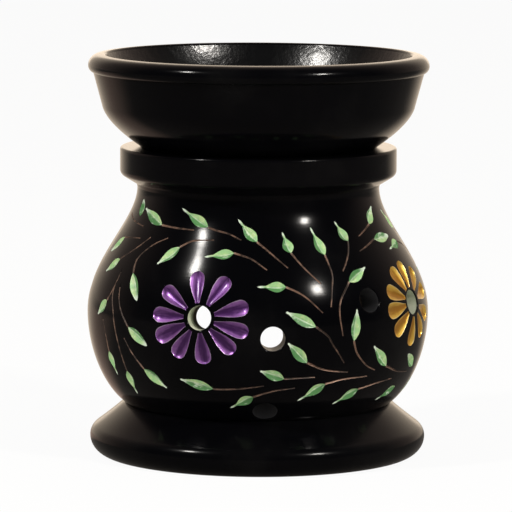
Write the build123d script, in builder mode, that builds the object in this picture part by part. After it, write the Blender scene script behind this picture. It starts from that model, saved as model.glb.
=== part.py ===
from build123d import *
from math import cos, radians, sin, tan
import os

# Oil burner turned from black soapstone, in millimetres. The origin is the centre of the foot where it
# stands, +Z is up, and the doorway for the tealight faces +Y, away from the painted front.

# Round bar of stone that the three turned pieces are cut from
stock_r = 42.5

# Foot, turned as its own piece and bonded under the belly
foot_trim = 0.65
foot_girth_z = 4.2
stand_in = 2.75
stand_width = 8.1
dish_depth = 1.2
shoulder_in = 1.35
shoulder_rise = 2.7
foot_h = 12.7
cone_hollow = 0.1
seam_ledge = 3.2
register_depth = 1.7
bond_gap = 0.05

# Belly, neck and collar, one hollow turned piece
belly_rise = 22.8
low_swell_r = 5.6
low_swell_z = 4.3
low_round = 9.1
high_round = 12.8
neck_cove = 8.6
neck_r = 30.1
neck_rise = 31.0
neck_flare = 0.2
neck_flare_rise = 0.9
collar_reach = 4.3
collar_undercut = 3.4
collar_face = 6.6
collar_low_round = 1.8
collar_round = 0.7
wall = 6.3
register_wall = 3.0
chamber_room = 7.2
chamber_low_round = 8.5
chamber_high_round = 11.5
chamber_cove = 9.0
bore_rise = 1.5

# Doorway at the back
door_side_h = 16.0
door_side_room = 4.0

# Drilled holes round the belly, each one square to its face. Azimuth runs from the front, -Y, towards +X,
# and the tilt is how far the bit points above level on its way out, both in degrees. The aim is the height
# where the bit's line crosses the centre line, as a share of the belly between the seam and the neck.
hole_d = 6.0
hole_azimuth_tilt_aim_shares = [
    (-11.6, 4.0, 0.431),
    (13.0, 0.0, 0.398),
    (49.0, 10.0, 0.413),
    (73.0, 6.0, 0.426),
    (-96.0, 5.0, 0.420),
]

# Air hole drilled upwards through the belly's underside, just above and outside the waist
air_hole_azimuth = 11.0
air_hole_tilt = -38.0
air_hole_up = 2.7
air_hole_out = 2.5

# Bowl that holds the water and oil and lifts off
rim_trim = 0.15
rim_rise = 20.2
rim_under_round = 1.7
rim_under_start = -75.0
rim_over_round = 2.75
rim_over_sweep = 84.5
rim_crest = 1.1
lip_round = 0.8
lip_sweep = 75.5
bowl_turn_in = 3.45
bowl_turn_rise = 10.4
seat_width = 5.4
seat_pull_r = 5.2
seat_pull_z = 3.6
turn_pull_r = 0.6
turn_pull_z = 3.1
bowl_floor_r = 20.0
bowl_floor_rise = 5.5
bowl_floor_pull = 9.0
bowl_wall_pull = 7.1
spigot_length = 2.5
spigot_gap = 0.5

# Tealight that stands in the chamber: aluminium cup, tinned disc that holds the wick up, wick and wax
cup_d = 38.0
cup_h = 12.0
cup_skin = 0.4
cup_lip = 0.8
wax_gap = 0.05
wax_headspace = 2.0
sustainer_d = 12.0
sustainer_h = 0.4
sustainer_neck_wall = 0.4
sustainer_neck_h = 4.0
wick_d = 1.6
wick_stand = 8.0

overrun = 5.0

os.makedirs("parts", exist_ok=True)

# Heights and radii that follow from the sizes above
foot_r = stock_r - foot_trim
belly_r = stock_r
bowl_rim_r = stock_r - rim_trim
floor_z = foot_h - register_depth
belly_z = foot_h + belly_rise
neck_z = belly_z + neck_rise
collar_under_z = neck_z + collar_undercut
collar_top_z = collar_under_z + collar_face
cup_r = cup_d / 2
chamber_floor_r = cup_r + cup_lip + chamber_room
register_r = chamber_floor_r + register_wall
waist_r = register_r + seam_ledge
chamber_r = belly_r - wall
neck_bore_r = neck_r - wall
collar_r = neck_r + collar_reach
door_r = cup_r + door_side_room
door_spring_z = floor_z + door_side_h
reach = belly_r + overrun


def cut_doorway():
    """Cut the arched doorway through the back of the piece being made."""
    with BuildSketch(Plane.XZ) as arch:
        with BuildLine():
            Line((-door_r, floor_z), (door_r, floor_z))
            Line((door_r, floor_z), (door_r, door_spring_z))
            ThreePointArc((door_r, door_spring_z), (0, door_spring_z + door_r), (-door_r, door_spring_z))
            Line((-door_r, door_spring_z), (-door_r, floor_z))
        make_face()
    extrude(arch.sketch, amount=-reach, mode=Mode.SUBTRACT)


def drill(azimuth, tilt, aim_z):
    """Drill one hole out through the wall of the piece being made, from the centre line at aim_z."""
    level = cos(radians(tilt))
    way_out = (level * sin(radians(azimuth)), -level * cos(radians(azimuth)), sin(radians(tilt)))
    with BuildSketch(Plane(origin=(0, 0, aim_z), z_dir=way_out)) as bit:
        Circle(hole_d / 2)
    extrude(bit.sketch, amount=reach, mode=Mode.SUBTRACT)


# Foot
with BuildPart() as foot:
    stand_outer_r = foot_r - stand_in
    stand_inner_r = stand_outer_r - stand_width
    shoulder_r = foot_r - shoulder_in
    shoulder_z = foot_girth_z + shoulder_rise
    with BuildSketch(Plane.XZ):
        with BuildLine():
            TangentArc((0, dish_depth), (stand_inner_r, 0), tangent=(1, 0))
            Line((stand_inner_r, 0), (stand_outer_r, 0))
            TangentArc((foot_r, foot_girth_z), (stand_outer_r, 0), tangent=(0, -1))
            TangentArc((foot_r, foot_girth_z), (shoulder_r, shoulder_z), tangent=(0, 1))
            SagittaArc((shoulder_r, shoulder_z), (waist_r, foot_h), -cone_hollow)
            Polyline(
                (waist_r, foot_h),
                (register_r, foot_h),
                (register_r, floor_z),
                (0, floor_z),
                (0, dish_depth),
            )
        make_face()
    revolve(axis=Axis.Z)
    cut_doorway()

foot.part.label = "foot"
export_step(foot.part, "parts/foot.step")

# Belly with neck and collar: the outside runs up from the seam to the collar, the inside back down
with BuildPart() as burner_body:
    with BuildSketch(Plane.XZ):
        with BuildLine():
            Polyline(
                (chamber_floor_r, floor_z),
                (register_r - bond_gap, floor_z),
                (register_r - bond_gap, foot_h),
                (waist_r, foot_h),
            )
            Bezier(
                (waist_r, foot_h),
                (waist_r + low_swell_r, foot_h + low_swell_z),
                (belly_r, belly_z - low_round),
                (belly_r, belly_z),
            )
            Bezier(
                (belly_r, belly_z),
                (belly_r, belly_z + high_round),
                (neck_r, neck_z - neck_cove),
                (neck_r, neck_z),
            )
            Line((neck_r, neck_z), (neck_r + neck_flare, neck_z + neck_flare_rise))
            FilletPolyline(
                (neck_r + neck_flare, neck_z + neck_flare_rise),
                (collar_r, collar_under_z),
                (collar_r, collar_top_z - collar_round),
                radius=collar_low_round,
            )
            TangentArc(
                (collar_r, collar_top_z - collar_round),
                (collar_r - collar_round, collar_top_z),
                tangent=(0, 1),
            )
            Polyline(
                (collar_r - collar_round, collar_top_z),
                (neck_bore_r, collar_top_z),
                (neck_bore_r, neck_z - bore_rise),
            )
            Bezier(
                (neck_bore_r, neck_z - bore_rise),
                (neck_bore_r, neck_z - bore_rise - chamber_cove),
                (chamber_r, belly_z + chamber_high_round),
                (chamber_r, belly_z),
            )
            Bezier(
                (chamber_r, belly_z),
                (chamber_r, belly_z - chamber_low_round),
                (chamber_floor_r, floor_z + chamber_low_round),
                (chamber_floor_r, floor_z),
            )
        make_face()
    revolve(axis=Axis.Z)
    cut_doorway()
    for azimuth, tilt, aim_share in hole_azimuth_tilt_aim_shares:
        drill(azimuth, tilt, foot_h + aim_share * (neck_z - foot_h))
    air_hole_drop = (waist_r + air_hole_out) * tan(radians(air_hole_tilt))
    drill(air_hole_azimuth, air_hole_tilt, foot_h + air_hole_up - air_hole_drop)

burner_body.part.label = "burner_body"
export_step(burner_body.part, "parts/burner_body.step")

# Bowl with a spigot that drops into the collar's bore
with BuildPart() as oil_bowl:
    spigot_r = neck_bore_r - spigot_gap
    spigot_z = collar_top_z - spigot_length
    seat_r = neck_bore_r + seat_width
    turn_r = bowl_rim_r - bowl_turn_in
    turn_z = collar_top_z + bowl_turn_rise
    rim_z = collar_top_z + rim_rise
    rim_under_r = bowl_rim_r - rim_under_round
    rim_over_r = bowl_rim_r - rim_over_round
    bowl_floor_z = collar_top_z + bowl_floor_rise
    with BuildSketch(Plane.XZ):
        with BuildLine():
            under = CenterArc((rim_under_r, rim_z), rim_under_round, rim_under_start, -rim_under_start)
            over = CenterArc((rim_over_r, rim_z), rim_over_round, 0, rim_over_sweep)
            crest = Line(over @ 1, over @ 1 + (over % 1) * rim_crest)
            lip = JernArc(crest @ 1, crest % 1, lip_round, lip_sweep)
            Polyline(
                (0, bowl_floor_z),
                (0, spigot_z),
                (spigot_r, spigot_z),
                (spigot_r, collar_top_z),
                (seat_r, collar_top_z),
            )
            Bezier(
                (seat_r, collar_top_z),
                (seat_r + seat_pull_r, collar_top_z + seat_pull_z),
                (turn_r - turn_pull_r, turn_z - turn_pull_z),
                (turn_r, turn_z),
            )
            Line((turn_r, turn_z), under @ 0)
            Bezier(
                lip @ 1,
                lip @ 1 + (lip % 1) * bowl_wall_pull,
                (bowl_floor_r + bowl_floor_pull, bowl_floor_z),
                (bowl_floor_r, bowl_floor_z),
            )
            Line((bowl_floor_r, bowl_floor_z), (0, bowl_floor_z))
        make_face()
    revolve(axis=Axis.Z)

oil_bowl.part.label = "oil_bowl"
export_step(oil_bowl.part, "parts/oil_bowl.step")

# Tealight cup, drawn from one disc of foil with its lip turned out
cup_top_z = floor_z + cup_h
cup_floor_z = floor_z + cup_skin

with BuildPart() as tealight_cup:
    with BuildSketch(Plane.XZ):
        with BuildLine():
            Polyline(
                (0, floor_z),
                (cup_r, floor_z),
                (cup_r, cup_top_z - cup_skin),
                (cup_r + cup_lip, cup_top_z - cup_skin),
                (cup_r + cup_lip, cup_top_z),
                (cup_r - cup_skin, cup_top_z),
                (cup_r - cup_skin, cup_floor_z),
                (0, cup_floor_z),
                close=True,
            )
        make_face()
    revolve(axis=Axis.Z)

tealight_cup.part.label = "tealight_cup"
export_step(tealight_cup.part, "parts/tealight_cup.step")

# Disc and crimped neck that hold the wick up on the cup's floor
wick_foot_z = cup_floor_z + sustainer_h
sustainer_bore_r = wick_d / 2 + wax_gap
sustainer_neck_r = sustainer_bore_r + sustainer_neck_wall

with BuildPart() as wick_sustainer:
    with BuildSketch(Plane.XY.offset(cup_floor_z)):
        Circle(sustainer_d / 2)
    extrude(amount=sustainer_h)
    with BuildSketch(Plane.XY.offset(wick_foot_z)):
        Circle(sustainer_neck_r)
        Circle(sustainer_bore_r, mode=Mode.SUBTRACT)
    extrude(amount=sustainer_neck_h)

wick_sustainer.part.label = "wick_sustainer"
export_step(wick_sustainer.part, "parts/wick_sustainer.step")

# Wax, cast round the disc and the wick
wax_top_z = cup_top_z - wax_headspace

with BuildPart() as tealight_wax:
    with BuildSketch(Plane.XY.offset(cup_floor_z)):
        Circle(cup_r - cup_skin - wax_gap)
        Circle(sustainer_d / 2 + wax_gap, mode=Mode.SUBTRACT)
    extrude(amount=sustainer_h)
    with BuildSketch(Plane.XY.offset(wick_foot_z)):
        Circle(cup_r - cup_skin - wax_gap)
        Circle(sustainer_neck_r + wax_gap, mode=Mode.SUBTRACT)
    extrude(amount=sustainer_neck_h)
    with BuildSketch(Plane.XY.offset(wick_foot_z + sustainer_neck_h)):
        Circle(cup_r - cup_skin - wax_gap)
        Circle(sustainer_bore_r, mode=Mode.SUBTRACT)
    extrude(amount=wax_top_z - wick_foot_z - sustainer_neck_h)

tealight_wax.part.label = "tealight_wax"
export_step(tealight_wax.part, "parts/tealight_wax.step")

# Wick, standing on the disc and out of the wax
with BuildPart() as wick:
    with BuildSketch(Plane.XY.offset(wick_foot_z)):
        Circle(wick_d / 2)
    extrude(amount=wax_top_z + wick_stand - wick_foot_z)

wick.part.label = "wick"
export_step(wick.part, "parts/wick.step")
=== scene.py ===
import random
from math import cos, pi, radians, sin, tan

import bmesh
import bpy
import numpy as np
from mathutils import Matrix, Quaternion, Vector
from mathutils.geometry import delaunay_2d_cdt


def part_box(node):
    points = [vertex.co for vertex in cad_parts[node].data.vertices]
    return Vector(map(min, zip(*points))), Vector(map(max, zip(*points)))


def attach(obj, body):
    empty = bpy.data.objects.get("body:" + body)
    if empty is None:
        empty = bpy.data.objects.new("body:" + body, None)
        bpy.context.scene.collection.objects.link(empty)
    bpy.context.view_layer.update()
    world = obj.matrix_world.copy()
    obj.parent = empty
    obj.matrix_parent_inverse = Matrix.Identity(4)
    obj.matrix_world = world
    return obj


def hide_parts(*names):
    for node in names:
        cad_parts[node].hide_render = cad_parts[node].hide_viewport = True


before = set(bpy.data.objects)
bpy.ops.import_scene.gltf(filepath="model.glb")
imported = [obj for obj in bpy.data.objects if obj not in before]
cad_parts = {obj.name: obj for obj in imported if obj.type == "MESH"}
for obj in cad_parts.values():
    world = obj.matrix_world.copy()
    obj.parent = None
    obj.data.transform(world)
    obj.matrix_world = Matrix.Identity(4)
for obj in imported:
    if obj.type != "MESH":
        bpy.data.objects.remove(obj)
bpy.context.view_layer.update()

# Oil burner of black soapstone, in metres.
scene = bpy.context.scene
scene.view_settings.view_transform = "Standard"


def put(name, data):
    """Put a new object into the scene."""
    thing = bpy.data.objects.new(name, data)
    scene.collection.objects.link(thing)
    return thing


def aim(thing, way, roll=0.0):
    """Point a camera or a lamp along a way."""
    thing.rotation_mode = "QUATERNION"
    thing.rotation_quaternion = way.to_track_quat("-Z", "Y") @ Quaternion((0, 0, 1), roll)


def heading(turn, rise=0.0):
    """The direction at an angle from the painted front towards +X and at an angle above level."""
    return np.array([sin(turn) * cos(rise), -cos(turn) * cos(rise), sin(rise)])


# Camera: a long lens about a metre away, a little above the bowl and eight degrees to the right of the
# painted front, so that two of the drilled holes look straight out through the rear doorway.
photo_side = 512
focal_pixels = 4200
camera_distance = 1.040
camera_height = 0.178
camera_azimuth = radians(8.0)
camera_roll = radians(0.25)
aim_height = 0.049
aim_left = 0.0005

camera = put("camera", bpy.data.cameras.new("camera"))
scene.camera = camera
camera.data.lens = camera.data.sensor_width * focal_pixels / photo_side
camera.location = camera_distance * heading(camera_azimuth) + (0, 0, camera_height)
camera_right = Vector((cos(camera_azimuth), sin(camera_azimuth), 0))
aim(camera, Vector((0, 0, aim_height)) - aim_left * camera_right - camera.location, camera_roll)


class Value:
    """A socket in a node tree. An operator on it adds the Math node that the operator stands for."""

    def __init__(self, nodes, socket):
        self.nodes, self.socket = nodes, socket

    def math(self, operation, *operands):
        return self.nodes.add("ShaderNodeMath", operands or (self,), operation=operation)

    __add__ = __radd__ = lambda self, other: self.math("ADD", self, other)
    __mul__ = __rmul__ = lambda self, other: self.math("MULTIPLY", self, other)
    __sub__ = lambda self, other: self.math("SUBTRACT", self, other)
    __rsub__ = lambda self, other: self.math("SUBTRACT", other, self)
    __truediv__ = lambda self, other: self.math("DIVIDE", self, other)
    __pow__ = lambda self, other: self.math("POWER", self, other)
    __neg__ = lambda self: 0 - self

    def eased(self, low, high):
        """0 below low, 1 above high and a smooth step between them."""
        inputs = {"Value": self, "From Min": low, "From Max": high}
        return self.nodes.add("ShaderNodeMapRange", inputs, interpolation_type="SMOOTHSTEP")


class Nodes:
    """A node tree being written. add() takes a node's type, its input values or links, and its settings."""

    def __init__(self, tree):
        self.tree = tree

    def add(self, kind, inputs=(), output=0, **settings):
        node = self.tree.nodes.new(kind)
        for name, setting in settings.items():
            setattr(node, name, setting)
        for name, value in inputs.items() if isinstance(inputs, dict) else enumerate(inputs):
            self.fill(node, name, value)
        live = [socket for socket in node.outputs if socket.enabled]
        if not live:
            return node
        return Value(self, node.outputs[output] if isinstance(output, str) else live[output])

    def fill(self, node, name, value):
        live = [socket for socket in node.inputs if socket.enabled]
        socket = live[name] if isinstance(name, int) else next(s for s in live if s.name == name)
        if isinstance(value, Value):
            self.tree.links.new(value.socket, socket)
        else:
            socket.default_value = value

    def outputs(self, kind, names, inputs=()):
        """The named outputs of one new node."""
        node = self.add(kind, inputs).socket.node
        return [Value(self, node.outputs[name]) for name in names]

    def split(self, vector):
        return self.outputs("ShaderNodeSeparateXYZ", "XYZ", [vector])

    def combine(self, *parts):
        return self.add("ShaderNodeCombineXYZ", parts)

    def place(self, space="Object"):
        return self.add("ShaderNodeTexCoord", (), space)

    def dot(self, first, second):
        return self.add("ShaderNodeVectorMath", [first, second], "Value", operation="DOT_PRODUCT")

    def mix(self, share, first, second):
        """Mixes two colours."""
        return self.add("ShaderNodeMix", {"Factor": share, "A": first, "B": second}, data_type="RGBA")

    def choose(self, share, first, second):
        """Mixes two shaders."""
        return self.add("ShaderNodeMixShader", [share, first, second])

    def light(self, kind, colour, strength=1.0):
        return self.add("ShaderNode" + kind, {"Color": colour, "Strength": strength})

    def change(self, kind, geometry, **inputs):
        return self.add("GeometryNode" + kind, {"Geometry": geometry, **inputs})


def blank(owner):
    """The emptied node tree of a new material or world."""
    owner.use_nodes = True
    owner.node_tree.nodes.clear()
    return Nodes(owner.node_tree)


# Studio: a white room and table, which the camera sees as plain white. In its gloss the burner shows other
# things: a bright sweep straight behind it with a brighter heart, dim walls at its sides, the dark room in
# front, a table that is dark close by as a painted shadow of the burner, bright behind and hazy at the left
# as a painted patch of light, and two small lamps in front. Each pair of cosines or metres is where a part
# of this begins and where it is full, but between left_reaches the haze fades out.
white = (1.0, 1.0, 1.0, 1.0)
room_fill = 0.42
sweep_cosines = (0.62, 0.95)
heart_cosines = (0.955, 0.98)
heart_gain = 0.9
wall_cosines = (-0.2, 0.7)
dark_front = (0.05, 0.05, 0.05, 1.0)
dim_side = (0.50, 0.39, 0.33, 1.0)
sweep_glow = (1.0, 0.83, 0.65, 1.0)
rays = ("Is Camera Ray", "Is Transmission Ray", "Is Glossy Ray")
behind = -heading(camera_azimuth)

scene.world = bpy.data.worlds.new("studio")
room = blank(scene.world)
seen, through, mirrored = room.outputs("ShaderNodeLightPath", rays)
facing_sweep = room.dot(room.place("Generated"), behind)
walls = room.mix(facing_sweep.eased(*wall_cosines), dark_front, dim_side)
walls = room.mix(facing_sweep.eased(*sweep_cosines), walls, sweep_glow)
heart = facing_sweep.eased(*heart_cosines)
reflected = room.light("Background", walls, 1 + heart_gain * heart)
lit = room.choose(mirrored, room.light("Background", white, room_fill), reflected)
shown = room.choose(seen + through, lit, room.light("Background", white))
room.add("ShaderNodeOutputWorld", {"Surface": shown})

table_half = 4.0
table_colour = (0.82, 0.80, 0.77, 1.0)
table_own_white = 0.93
# Painted shadow: the table close by shows dark in the burner's gloss, standing for the burner's shadow on
# it. Painted light: at the left it shows as a lit haze.
shadow_near_in_gloss = (0.20, 0.18, 0.16, 1.0)
lit_patch_left_in_gloss = (0.66, 0.48, 0.39, 1.0)
left_turn = radians(43)
left_cosines = (0.8, 0.97)
left_reaches = (0.35, 0.60)
sweep_foot = (-0.02, 0.08)

table_mesh = bpy.data.meshes.new("table")
corners = [(x * table_half, y * table_half, 0) for x, y in ((-1, -1), (1, -1), (1, 1), (-1, 1))]
table_mesh.from_pydata(corners, [], [(0, 1, 2, 3)])
table_mesh.materials.append(bpy.data.materials.new("table_white"))
board = blank(table_mesh.materials[0])
seen, through, mirrored = board.outputs("ShaderNodeLightPath", rays)
spot = board.place()
far = board.add("ShaderNodeVectorMath", [spot], "Value", operation="LENGTH")
back = board.dot(spot, behind)
left = board.dot(spot, -heading(camera_azimuth + left_turn))
lit_patch_share = (left / far).eased(*left_cosines) * (1 - far.eased(*left_reaches))
sweep_share = back.eased(*sweep_foot) * (back / far).eased(*sweep_cosines)
in_gloss = board.mix(lit_patch_share, shadow_near_in_gloss, lit_patch_left_in_gloss)
in_gloss = board.mix(sweep_share, in_gloss, sweep_glow)
paint = board.add("ShaderNodeBsdfDiffuse", {"Color": table_colour})
lit = board.choose((seen + through) * table_own_white, paint, board.light("Emission", white))
shown = board.choose(mirrored, lit, board.light("Emission", in_gloss))
board.add("ShaderNodeOutputMaterial", {"Surface": shown})
table = put("table", table_mesh)

lamp_distance = 1.2
lamp_target = Vector((0, 0, 0.045))


def hang_lamp(name, azimuth, elevation, width, height, radiance, colour):
    """Hang a soft lamp at degrees to the camera's right and above level, shining at the burner."""
    data = bpy.data.lights.new(name, "AREA")
    data.shape = "RECTANGLE"
    data.size, data.size_y = width, height
    data.energy = radiance * pi * width * height
    data.color = colour
    lamp = put(name, data)
    way = Vector(heading(camera_azimuth + radians(azimuth), radians(elevation)))
    lamp.location = lamp_target + lamp_distance * way
    aim(lamp, -way)
    lamp.visible_camera = False


hang_lamp("left_lamp", -59, 45.5, 0.09, 0.11, 240, (1.0, 0.97, 0.92))
hang_lamp("right_lamp", 47, 36, 0.11, 0.11, 220, (1.0, 0.96, 0.90))


# Foot: turned from its own piece of black-dyed soapstone and polished, with a shallow dish under it. Its
# top has a recess that the belly is bonded into, and is cut down to the recess's floor in the doorway.
_, foot_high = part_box("foot")
body_low, body_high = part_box("burner_body")
bowl_low, bowl_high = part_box("oil_bowl")
foot_r = foot_high.x
foot_h = foot_high.z
floor_z = body_low.z
belly_r = min(body_high.x, -body_low.x, -body_low.y)
collar_top_z = body_high.z
foot_girth_z = 0.0042
stand_in = 0.00275
stand_width = 0.0081
dish_depth = 0.0012
shoulder_in = 0.00135
shoulder_rise = 0.0027
waist_r = 0.0332
cone_hollow = 0.0001
register_r = 0.0300
door_r = 0.023
door_cut_reach = 0.06
arris = 0.00025
lathe_steps = 288
crease_angle = radians(32)
weld = 1e-6
fine_weld = 1e-7


def bend(controls, count):
    """Points along the Bezier curve with these control points, however many there are."""
    share = np.linspace(0, 1, count + 1)[:, None]
    level = [np.array(point, float) + 0 * share for point in controls]
    while len(level) > 1:
        level = [a + (b - a) * share for a, b in zip(level, level[1:])]
    return level[0]


def bends(start, runs, fineness=1):
    """The points of each of several runs that follow on from start: steps, and then control points."""
    for steps, *controls in runs:
        yield bend([start, *controls], steps * fineness)
        start = controls[-1]


def gaps(points):
    """The distance from each point to the next."""
    return np.linalg.norm(np.diff(points, axis=0), axis=1)


def join(*runs):
    """One profile from several runs of points, with no point twice in a row."""
    points = np.vstack(runs)
    return points[np.append(True, gaps(points) > fine_weld)]


def trace(start, *runs):
    return join(*bends(start, runs))


def arc_from(start, end, tangent, count):
    """Points on the circular arc that leaves start along tangent and ends at end."""
    start, end, tangent = (np.array(v, float) for v in (start, end, tangent))
    chord = end - start
    side = np.array([-tangent[1], tangent[0]])
    radius = chord @ chord / (2 * chord @ side)
    turn = 2 * np.arctan2(chord @ side, chord @ tangent)
    share = np.linspace(0, turn, count + 1)[:, None]
    return start + radius * (np.sin(share) * tangent + (1 - np.cos(share)) * side)


def sag(start, end, depth, count):
    """Points on a shallow curve from start to end that dips by depth to the left of the way along."""
    start, end = np.array(start, float), np.array(end, float)
    along = (end - start) / np.linalg.norm(end - start)
    return bend([start, (start + end) / 2 + 2 * depth * np.array([-along[1], along[0]]), end], count)


def geometry_tree(name, kinds):
    """A new geometry tree with inputs of these kinds: its nodes, and the inputs by name."""
    tree = bpy.data.node_groups.new(name, "GeometryNodeTree")
    tree.interface.new_socket("Geometry", in_out="OUTPUT", socket_type="NodeSocketGeometry")
    for label, kind in kinds.items():
        tree.interface.new_socket(label, in_out="INPUT", socket_type="NodeSocket" + kind)
    made = Nodes(tree)
    group = tree.nodes.new("NodeGroupInput")
    return made, {label: Value(made, group.outputs[label]) for label in kinds}


def end_tree(made, mesh, finish):
    """Shade the mesh smooth, give it its finish and send it out of the tree."""
    mesh = made.change("RealizeInstances", made.change("SetShadeSmooth", mesh))
    mesh = made.change("SetMaterial", mesh, Material=finish)
    made.fill(made.tree.nodes.new("NodeGroupOutput"), "Geometry", mesh)
    return made.tree


def lathe_tree():
    """Geometry nodes that turn a row of profile points round Z, flute it and cut the doorway through it."""
    made, given = geometry_tree("turned", {
        "Profile": "Geometry", "Steps": "Int", "Flutes": "Int", "Flute Depth": "Float", "Doorway": "Bool",
        "Doorway Width": "Float", "Doorway Floor": "Float", "Doorway Reach": "Float", "Finish": "Material"})
    rows = made.add("GeometryNodeAttributeDomainSize", {"Geometry": given["Profile"]}, "Point Count")
    grid = made.add("GeometryNodeMeshGrid", {"Vertices X": given["Steps"] + 1, "Vertices Y": rows}, "Mesh")
    index = made.add("GeometryNodeInputIndex")
    turn = (index / rows).math("FLOOR") * (2 * pi) / given["Steps"]
    spot = made.add("GeometryNodeSampleIndex", {
        "Geometry": given["Profile"], "Value": made.add("GeometryNodeInputPosition"),
        "Index": index.math("MODULO", index, rows)}, data_type="FLOAT_VECTOR")
    radius, fluted, height = made.split(spot)
    wave = (turn * given["Flutes"]).math("COSINE")
    radius = radius + fluted * given["Flute Depth"] * (wave - 1)
    place = made.combine(radius * turn.math("SINE"), -radius * turn.math("COSINE"), height)
    turned = made.change("SetPosition", grid, Position=place)
    turned = made.change("MergeByDistance", turned, Distance=weld)
    reach = given["Doorway Reach"]
    size = made.combine(given["Doorway Width"], reach, reach)
    lift = made.combine(0.0, reach / 2, given["Doorway Floor"] + reach / 2)
    block = made.add("GeometryNodeMeshCube", {"Size": size}, "Mesh")
    block = made.change("Transform", block, Translation=lift)
    cut = made.add(
        "GeometryNodeMeshBoolean", [turned, block], "Mesh", operation="DIFFERENCE", solver="EXACT")
    whole = made.add("GeometryNodeSwitch", [given["Doorway"], turned, cut], input_type="GEOMETRY")
    whole = made.change("MergeByDistance", whole, Distance=weld)
    return end_tree(made, whole, given["Finish"])


turned_tree = lathe_tree()


def plain_piece(name, maker, tree, settings):
    """Run a geometry tree on the maker mesh and keep its result as a plain mesh object at the origin."""
    piece = put(name, maker)
    modifier = piece.modifiers.new(tree.name, "NODES")
    modifier.node_group = tree
    for item in tree.interface.items_tree:
        if item.in_out == "INPUT" and item.name in settings:
            modifier[item.identifier] = settings[item.name]
    bpy.context.view_layer.update()
    result = bpy.data.meshes.new_from_object(piece.evaluated_get(bpy.context.evaluated_depsgraph_get()))
    piece.modifiers.remove(modifier)
    piece.data = result
    result.name = name
    result.set_sharp_from_angle(angle=crease_angle)
    return piece


def turn_piece(name, profile, finish, steps=lathe_steps, fluted=None, **settings):
    """Turn a profile of (radius, height) points whose outside lies to the right of the way along."""
    share = np.zeros(len(profile)) if fluted is None else fluted
    maker = bpy.data.meshes.new(name + "_profile")
    maker.from_pydata([(r, f, z) for (r, z), f in zip(profile, share)], [], [])
    return plain_piece(name, maker, turned_tree, {"Steps": steps, "Finish": finish, **settings})


class Finish(Nodes):
    """The material of one surface: a node tree with a Principled shader at its end."""

    def __init__(self, name, **constants):
        self.material = bpy.data.materials.new(name)
        super().__init__(blank(self.material).tree)
        shader = self.add("ShaderNodeBsdfPrincipled")
        self.shader = shader.socket.node
        self.add("ShaderNodeOutputMaterial", {"Surface": shader})
        self.set(**constants)

    def set(self, **surface):
        """Fill inputs of the shader, named with _ for a space, and return the material."""
        for name, value in surface.items():
            self.fill(self.shader, name.replace("_", " "), value)
        return self.material

    def read(self, attribute):
        return self.add("ShaderNodeAttribute", (), "Fac", attribute_name=attribute)

    def bump(self, height, depth):
        return self.add("ShaderNodeBump", {"Height": height, "Distance": depth})

    def noise(self, scale, detail=3.0, roughness=0.55, where=None):
        return self.add("ShaderNodeTexNoise", {
            "Vector": where or self.place(), "Scale": scale, "Detail": detail, "Roughness": roughness})

    def rings(self, fineness, breaks):
        """Noise drawn out round Z like the marks of a lathe tool, with a few breaks in each ring."""
        x, y, z = self.split(self.place())
        radius = (x * x + y * y) ** 0.5
        where = self.combine(x / radius * breaks, y / radius * breaks, z * fineness)
        inputs = {"Vector": where, "W": radius * fineness, "Scale": 1.0, "Detail": 2.0}
        return self.add("ShaderNodeTexNoise", inputs, noise_dimensions="4D")

    def brush_marks(self, fineness, length):
        """Noise drawn out along each carved cut, different in every one."""
        cut_apart = 60
        where = self.combine(
            self.read("across") * fineness, self.read("along") * length, self.read("tone") * cut_apart)
        return self.noise(1.0, 4.0, 0.6, where)


def mottled(name, noise, rough, depth, tones=None, edges=None, **constants):
    """A finish with one noise in its bumps, in its colour between two tones, and in its roughness.

    rough is the least roughness and what the noise adds to it, and edges are where the tones begin to mix.
    """
    finish = Finish(name, **constants)
    mottle = finish.noise(*noise)
    if tones:
        finish.set(Base_Color=finish.mix(mottle.eased(*edges) if edges else mottle, *tones))
    return finish.set(Roughness=rough[0] + rough[1] * mottle, Normal=finish.bump(mottle, depth))


def polished_stone(name, gloss):
    """Black-dyed soapstone, waxed and buffed: a faint cloud and fine lathe rings."""
    stone_black = (0.0012, 0.0012, 0.0017, 1.0)
    stone_cloud = (0.0034, 0.0033, 0.0036, 1.0)
    finish = Finish(name, IOR=1.2)
    cloud = finish.noise(45.0, 5.0)
    rings = finish.rings(2600.0, 1.4)
    return finish.set(
        Base_Color=finish.mix(cloud.eased(0.45, 0.75), stone_black, stone_cloud),
        Roughness=gloss + 0.03 * cloud + 0.02 * rings,
        Normal=finish.bump(rings * 0.5 + finish.noise(420.0) * 0.35, 0.000012))


# A run in a profile is its number of steps, and then the control points that follow the last run's end.
stand_r = foot_r - stand_in
stand_inner_r = stand_r - stand_width
girth = (foot_r, foot_girth_z)
shoulder = (foot_r - shoulder_in, foot_girth_z + shoulder_rise)
cone_end = (waist_r + arris, foot_h - arris / 2)
foot_profile = join(
    arc_from((0, dish_depth), (stand_inner_r, 0), (1, 0), 12),
    trace((stand_inner_r, 0), (4, (stand_r, 0))),
    arc_from(girth, (stand_r, 0), (0, -1), 12)[::-1],
    arc_from(girth, shoulder, (0, 1), 10),
    sag(shoulder, cone_end, cone_hollow, 14),
    trace(cone_end, (3, (waist_r, foot_h), (waist_r - arris, foot_h)), (2, (register_r, foot_h)),
          (2, (register_r, floor_z)), (8, (0, floor_z))),
)
turned_foot = turn_piece("turned_foot", foot_profile, polished_stone("foot_stone", 0.14), **{
    "Doorway": True, "Doorway Width": 2 * door_r, "Doorway Floor": floor_z, "Doorway Reach": door_cut_reach})
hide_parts("foot")
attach(turned_foot, "lamp")


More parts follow.
